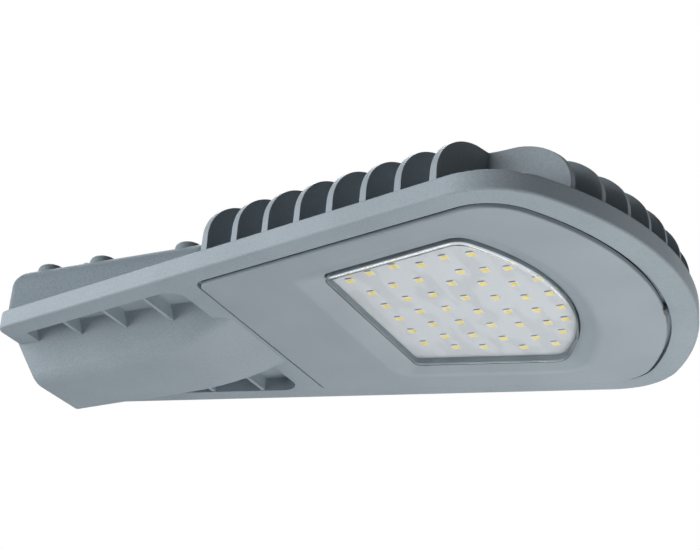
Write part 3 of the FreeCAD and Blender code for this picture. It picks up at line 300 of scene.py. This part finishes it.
def floor_paint(name):
    """A plain pale floor, which the camera sees near white."""
    material, surface = shader(name, FLOOR_GREY, 0.9)
    tree = material.node_tree
    glow = tree.nodes.new("ShaderNodeEmission")
    glow.inputs["Color"].default_value = linear(FLOOR_GREY)
    share = tree.nodes.new("ShaderNodeMath")
    share.operation = "MULTIPLY"
    share.inputs[1].default_value = FLOOR_GLOW
    path = tree.nodes.new("ShaderNodeLightPath")
    tree.links.new(path.outputs["Is Camera Ray"], share.inputs[0])
    blend_shaders(material, share.outputs["Value"], surface.outputs["BSDF"],
                  glow.outputs["Emission"])
    return material


def solder_mask(name):
    """The board's white mask, with faint traces under it."""
    material, surface = shader(name, BOARD_WHITE, 0.6)
    surface.inputs["Specular IOR Level"].default_value = BOARD_GLOSS
    tree = material.node_tree
    traces = noise(tree, 0.011, 1.0, (1.0, 0.35, 1.0))
    vary_colour(tree, surface, traces, shifted(BOARD_WHITE, -0.035), BOARD_WHITE, (0.42, 0.5))
    bumps(tree, surface, [(traces, 0.1, 0.00005)])
    return material


def phosphor(name):
    """The LEDs' yellow face, a little uneven."""
    material, surface = shader(name, PHOSPHOR, 0.35)
    tree = material.node_tree
    patches = noise(tree, 0.0025)
    vary_colour(tree, surface, patches, shifted(PHOSPHOR, -0.05), shifted(PHOSPHOR, 0.03))
    bumps(tree, surface, [(noise(tree, 0.0004), 0.3, 0.00005)])
    return material


finishes = {
    "body": powder_coat("body_coat", BODY_GREY, grain=0.0009, depth=0.00013, variation=0.03,
                        roughness=0.5),
    "cover": powder_coat("cover_coat", COVER_GREY, grain=0.0009, depth=0.00022, variation=0.045,
                         roughness=0.6),
    "plate": powder_coat("plate_coat", PLATE_GREY, grain=0.0007, depth=0.00004, variation=0.012,
                         roughness=0.42),
    "zinc": steel("zinc_steel", ZINC, 0.35),
    "frame": steel("frame_steel", STAINLESS, 0.4),
    "seal": rubber("seal_rubber", SEAL_BLACK),
    "pad": rubber("pad_rubber", PAD_GREY),
    "case": plastic("case_coat", CASE_WHITE, 0.5),
    "white": plastic("white_plastic", PACKAGE_WHITE, 0.5),
    "black": plastic("black_plastic", BLACK, 0.5),
    "catch": plastic("catch_plastic", CATCH_GREY, 0.55),
    "glass": clear_glass("clear_pane"),
    "board": solder_mask("board_mask"),
    "phosphor": phosphor("led_phosphor"),
    "edge_bar": plastic("led_edge_bar", EDGE_BAR_GREY, 0.6),
    # painted shade: the grey band inside the pane's wall
    "shade_band": plastic("painted_shade_film", PAINTED_SHADE_GREY, 0.55),
}
node_finishes = {
    "housing": "body", "bay_cover": "cover", "clamp_saddle": "cover", "lens_plate": "plate",
    "bay_gasket": "seal", "plate_gasket": "seal", "lens_gasket": "pad", "thermal_pad": "pad",
    "clamp_washers": "zinc", "clamp_bolts": "zinc", "driver_screws": "zinc",
    "terminal_screws": "zinc", "surge_screws": "zinc", "earth_screw": "zinc",
    "retainer_screws": "zinc", "plate_screws": "zinc", "bay_cover_screws": "zinc",
    "lens_retainer": "frame", "driver": "case", "terminal_block": "white",
    "surge_protector": "black", "lead_gland": "black", "breather": "black",
    "plate_catch": "catch", "clear_lens": "glass", "led_board": "board",
    "led_chips": "phosphor",
}
for node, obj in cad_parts.items():
    obj.data.materials.clear()
    obj.data.materials.append(finishes[node_finishes[node]])


# Tools for the pieces built here
def loose_boxes(node):
    """Lowest and highest corner of each solid in a CAD node, in the mesh's own order."""
    mesh = bmesh.new()
    mesh.from_mesh(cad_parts[node].data)
    bmesh.ops.remove_doubles(mesh, verts=mesh.verts, dist=1e-6)
    seen = set()
    boxes = []
    for start in mesh.verts:
        if start in seen:
            continue
        seen.add(start)
        grown = [start]
        for vert in grown:
            for edge in vert.link_edges:
                other = edge.other_vert(vert)
                if other not in seen:
                    seen.add(other)
                    grown.append(other)
        places = [vert.co.copy() for vert in grown]
        boxes.append((Vector([min(p[i] for p in places) for i in range(3)]),
                      Vector([max(p[i] for p in places) for i in range(3)])))
    mesh.free()
    return boxes


def skin(mesh, rings, material=0, hoop=False):
    """Joins rings of points with faces, and closes both ends or joins the last to the first."""
    lines = [[mesh.verts.new(point) for point in ring] for ring in rings]
    faces = [] if hoop else [mesh.faces.new(lines[0]), mesh.faces.new(lines[-1])]
    following = lines[1:] + lines[:1] if hoop else lines[1:]
    for upper, lower in zip(lines, following):
        for i in range(len(upper)):
            j = (i + 1) % len(upper)
            faces.append(mesh.faces.new((upper[i], upper[j], lower[j], lower[i])))
    for face in faces:
        face.material_index = material


def piece(name, mesh, materials, slot, *nodes):
    """Links a bmesh as a piece that rides on the body and stands for CAD nodes."""
    data = bpy.data.meshes.new(name)
    bmesh.ops.recalc_face_normals(mesh, faces=mesh.faces)
    mesh.to_mesh(data)
    mesh.free()
    for material in materials:
        data.materials.append(finishes[material])
    obj = bpy.data.objects.new(name, data)
    bpy.context.scene.collection.objects.link(obj)
    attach(obj, BODY)
    if nodes:
        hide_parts(*nodes)


def rounded_block(mesh, low, high, radius, material, steps=3):
    """A block with rounded upright corners and a softened lower edge."""
    centre = (low + high) / 2
    half = (high - low) / 2
    corners = [(1, 1, 0), (-1, 1, 90), (-1, -1, 180), (1, -1, 270)]
    soft = min(radius, high.z - low.z) * 0.35
    rings = []
    for z, shrink in ((high.z, 0.0), (low.z + soft, 0.0), (low.z, soft)):
        ring = []
        for sx, sy, start in corners:
            for step in range(steps + 1):
                angle = math.radians(start + 90 * step / steps)
                reach = radius - shrink
                ring.append((centre.x + sx * (half.x - radius) + reach * math.cos(angle),
                             centre.y + sy * (half.y - radius) + reach * math.sin(angle), z))
        rings.append(ring)
    skin(mesh, rings, material)


# Lines round the pane's middle are kept as reaches at even angles
def pane_middle():
    """The middle of the pane in plan."""
    low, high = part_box("clear_lens")
    return ((low + high) / 2).xy


def outline(node, level):
    """The widest line of a CAD node at a level, as reaches."""
    middle = pane_middle()
    points = [(v.co.x, v.co.y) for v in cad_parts[node].data.vertices
              if abs(v.co.z - level) < LEVEL_MARGIN]
    hull = [Vector(points[i]) for i in convex_hull_2d(points)]
    reaches = []
    for step in range(TURN_STEPS):
        angle = math.tau * step / TURN_STEPS
        away = middle + Vector((math.cos(angle), math.sin(angle)))
        crossings = [intersect_line_line_2d(middle, away, a, b)
                     for a, b in zip(hull, hull[1:] + hull[:1])]
        reaches.append(max((c - middle).length for c in crossings if c))
    return reaches


def ring_at(reaches, level):
    """A line of reaches as points at a level."""
    middle = pane_middle()
    return [(middle.x + reach * math.cos(math.tau * i / TURN_STEPS),
             middle.y + reach * math.sin(math.tau * i / TURN_STEPS), level)
            for i, reach in enumerate(reaches)]


def between(outer, inner, share):
    """Reaches at a share of the way from an outer line to an inner one."""
    return [a + (b - a) * share for a, b in zip(outer, inner)]


# The window's pieces
def pane_lines():
    """The outer and the inner line of the CAD pane's wall."""
    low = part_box("clear_lens")[0]
    return outline("clear_lens", low.z + PANE_ROUND), outline("clear_lens", low.z + CAD_WALL)


def clear_pane(outer, inner):
    """The clear tray with a thin wall and rolled edges, from inside to outside."""
    low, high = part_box("clear_lens")
    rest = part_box("lens_gasket")[1].z
    flange = outline("clear_lens", rest)
    turns = [math.radians(90 * step / ROUND_STEPS) for step in range(ROUND_STEPS + 1)]
    rings = []
    for angle in turns:
        share = (PANE_WALL + INNER_ROUND * (1 - math.sin(angle))) / CAD_WALL
        level = low.z + PANE_FACE + INNER_ROUND * (1 - math.cos(angle))
        rings.append(ring_at(between(outer, inner, share), level))
    inside = between(outer, inner, PANE_WALL / CAD_WALL)
    rings += [ring_at(inside, high.z), ring_at(flange, high.z), ring_at(flange, rest),
              ring_at(outer, rest)]
    for angle in turns:
        share = PANE_ROUND * (1 - math.cos(angle)) / CAD_WALL
        level = low.z + PANE_ROUND * (1 - math.sin(angle))
        rings.append(ring_at(between(outer, inner, share), level))
    mesh = bmesh.new()
    skin(mesh, rings)
    piece("clear_pane", mesh, ["glass"], "lens", "clear_lens")


def led_panel(outer, inner):
    """The board, with a softened edge round its face."""
    low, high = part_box("led_board")
    face = low.z - BOARD_DROP
    edge = between(outer, inner, (PANE_WALL + BOARD_GAP) / CAD_WALL)
    face_edge = between(outer, inner, (PANE_WALL + BOARD_GAP + BOARD_SOFT) / CAD_WALL)
    mesh = bmesh.new()
    skin(mesh, [ring_at(edge, high.z), ring_at(edge, face + BOARD_SOFT),
                ring_at(face_edge, face)])
    piece("led_panel", mesh, ["board"], "board_white", "led_board")


def painted_shade_band(outer, inner):
    """The grey band inside the pane's wall: painted shade, a grey sheet where the wall shows only
    shade.
    """
    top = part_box("led_board")[1].z
    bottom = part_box("clear_lens")[0].z + PANE_FACE + INNER_ROUND + BAND_LIFT
    outside = between(outer, inner, (PANE_WALL + BAND_GAP) / CAD_WALL)
    inside = between(outer, inner, (PANE_WALL + BAND_GAP + BAND_THICK) / CAD_WALL)
    mesh = bmesh.new()
    skin(mesh, [ring_at(outside, top), ring_at(outside, bottom), ring_at(inside, bottom),
                ring_at(inside, top)], hoop=True)
    piece("painted_shade_band", mesh, ["shade_band"], "pad_grey")


def led_packages():
    """White packages with a yellow face, and a dark bar along one edge of each."""
    mesh = bmesh.new()
    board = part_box("led_board")[0].z - BOARD_DROP
    for chip_low, high in loose_boxes("led_chips"):
        low = chip_low - Vector((0, 0, BOARD_DROP))
        rounded_block(mesh, low + Vector((0, -PACKAGE_MARGIN, PACKAGE_LIFT)),
                      Vector((high.x, high.y + PACKAGE_MARGIN, board)), PACKAGE_CORNER, 0)
        rounded_block(mesh, low + FACE_NEAR,
                      Vector((high.x - FACE_FAR.x, high.y - FACE_FAR.y, low.z + FACE_THICK)),
                      FACE_CORNER, 1)
        # a dark bar just off the package's -Y edge
        rounded_block(mesh, Vector((low.x + BAR_NEAR.x, low.y + BAR_NEAR.y, board - BAR_THICK)),
                      Vector((high.x - BAR_END, low.y - BAR_EDGE, board)), BAR_CORNER, 2)
    piece("led_packages", mesh, ["white", "phosphor", "edge_bar"], "phosphor", "led_chips")


def socket_screws(name, node, head_height, shank_radius, slot):
    """Cap screws with a hexagon socket, in place of a node's plain ones."""
    mesh = bmesh.new()
    for low, high in loose_boxes(node):
        centre = (low + high) / 2
        head = (high.x - low.x) / 2
        seat = high.z - head_height
        chamfer = CHAMFER_SHARE * head
        socket = SOCKET_SHARE * head
        round_rings = [
            (TIP_SHARE * shank_radius, low.z),
            (shank_radius, low.z + TIP_LENGTH_SHARE * shank_radius),
            (shank_radius, seat), (head, seat), (head, high.z - chamfer),
            (head - chamfer, high.z),
        ]
        socket_rings = [
            (socket, high.z),
            (SOCKET_TAPER * socket, high.z - SOCKET_RIM_SHARE * head),
            (SOCKET_TAPER * socket, high.z - SOCKET_DEPTH_SHARE * head_height),
        ]
        rings = []
        for radius, z in round_rings + socket_rings:
            ring = []
            for i in range(SCREW_SEGMENTS):
                angle = math.tau * i / SCREW_SEGMENTS
                to_flat = (angle + math.pi / 6) % (math.pi / 3) - math.pi / 6
                reach = radius / math.cos(to_flat) if (radius, z) in socket_rings else radius
                ring.append((centre.x + reach * math.cos(angle),
                             centre.y + reach * math.sin(angle), z))
            rings.append(ring)
        skin(mesh, rings)
    piece(name, mesh, ["zinc"], slot, node)


wall_lines = pane_lines()
clear_pane(*wall_lines)
led_panel(*wall_lines)
painted_shade_band(*wall_lines)
led_packages()
socket_screws("cover_cap_screws", "bay_cover_screws", 4.0 * MM, 2.5 * MM, "steel")
socket_screws("plate_cap_screws", "plate_screws", 2.8 * MM, 2.0 * MM, "steel")

# Stage
floor_mesh = bpy.data.meshes.new("floor")
floor_mesh.from_pydata([(x * FLOOR_HALF, y * FLOOR_HALF, FLOOR_LEVEL)
                        for x, y in ((-1, -1), (1, -1), (1, 1), (-1, 1))], [], [(0, 1, 2, 3)])
floor = bpy.data.objects.new("floor", floor_mesh)
bpy.context.scene.collection.objects.link(floor)
floor_mesh.materials.append(floor_paint("floor_paint"))

# Square soft lamps, turned to the object's middle and unseen themselves
for name, place, size, power in LAMPS:
    lamp = bpy.data.lights.new(name, "AREA")
    lamp.shape = "SQUARE"
    lamp.size = size
    lamp.energy = power
    obj = bpy.data.objects.new(name, lamp)
    obj.location = place
    obj.visible_camera = False
    obj.rotation_euler = (Vector(MIDDLE) - Vector(place)).to_track_quat("-Z", "Y").to_euler()
    bpy.context.scene.collection.objects.link(obj)

# A white backdrop for the camera and for gloss and glass that it sees, and little light from it
world = bpy.data.worlds.new("studio")
world.use_nodes = True
bpy.context.scene.world = world
tree = world.node_tree
path = tree.nodes.new("ShaderNodeLightPath")


def combine(operation, first, second):
    """The result of one math node on two outputs of the world's nodes, or on one and a number."""
    node = tree.nodes.new("ShaderNodeMath")
    node.operation = operation
    tree.links.new(first, node.inputs[0])
    if isinstance(second, float):
        node.inputs[1].default_value = second
    else:
        tree.links.new(second, node.inputs[1])
    return node.outputs["Value"]


mirrored = combine("MAXIMUM", path.outputs["Is Glossy Ray"], path.outputs["Is Transmission Ray"])
direct = combine("LESS_THAN", path.outputs["Diffuse Depth"], 0.5)
seen = combine("MAXIMUM", path.outputs["Is Camera Ray"], combine("MULTIPLY", mirrored, direct))
strength = tree.nodes.new("ShaderNodeMapRange")
strength.inputs["To Min"].default_value = SHADE_LIGHT
strength.inputs["To Max"].default_value = 1.0
background = tree.nodes["Background"]
background.inputs["Color"].default_value = (1.0, 1.0, 1.0, 1.0)
tree.links.new(seen, strength.inputs["Value"])
tree.links.new(strength.outputs["Result"], background.inputs["Strength"])

# Camera
camera_data = bpy.data.cameras.new("camera")
camera_data.sensor_width = 36.0
camera_data.lens = 87.43
camera = bpy.data.objects.new("camera", camera_data)
camera.location = (0.7106, -0.8869, -0.4557)
camera.rotation_euler = [math.radians(angle) for angle in (115.814, -4.346, 26.327)]
bpy.context.scene.collection.objects.link(camera)
bpy.context.scene.camera = camera
bpy.context.scene.view_settings.view_transform = "Standard"
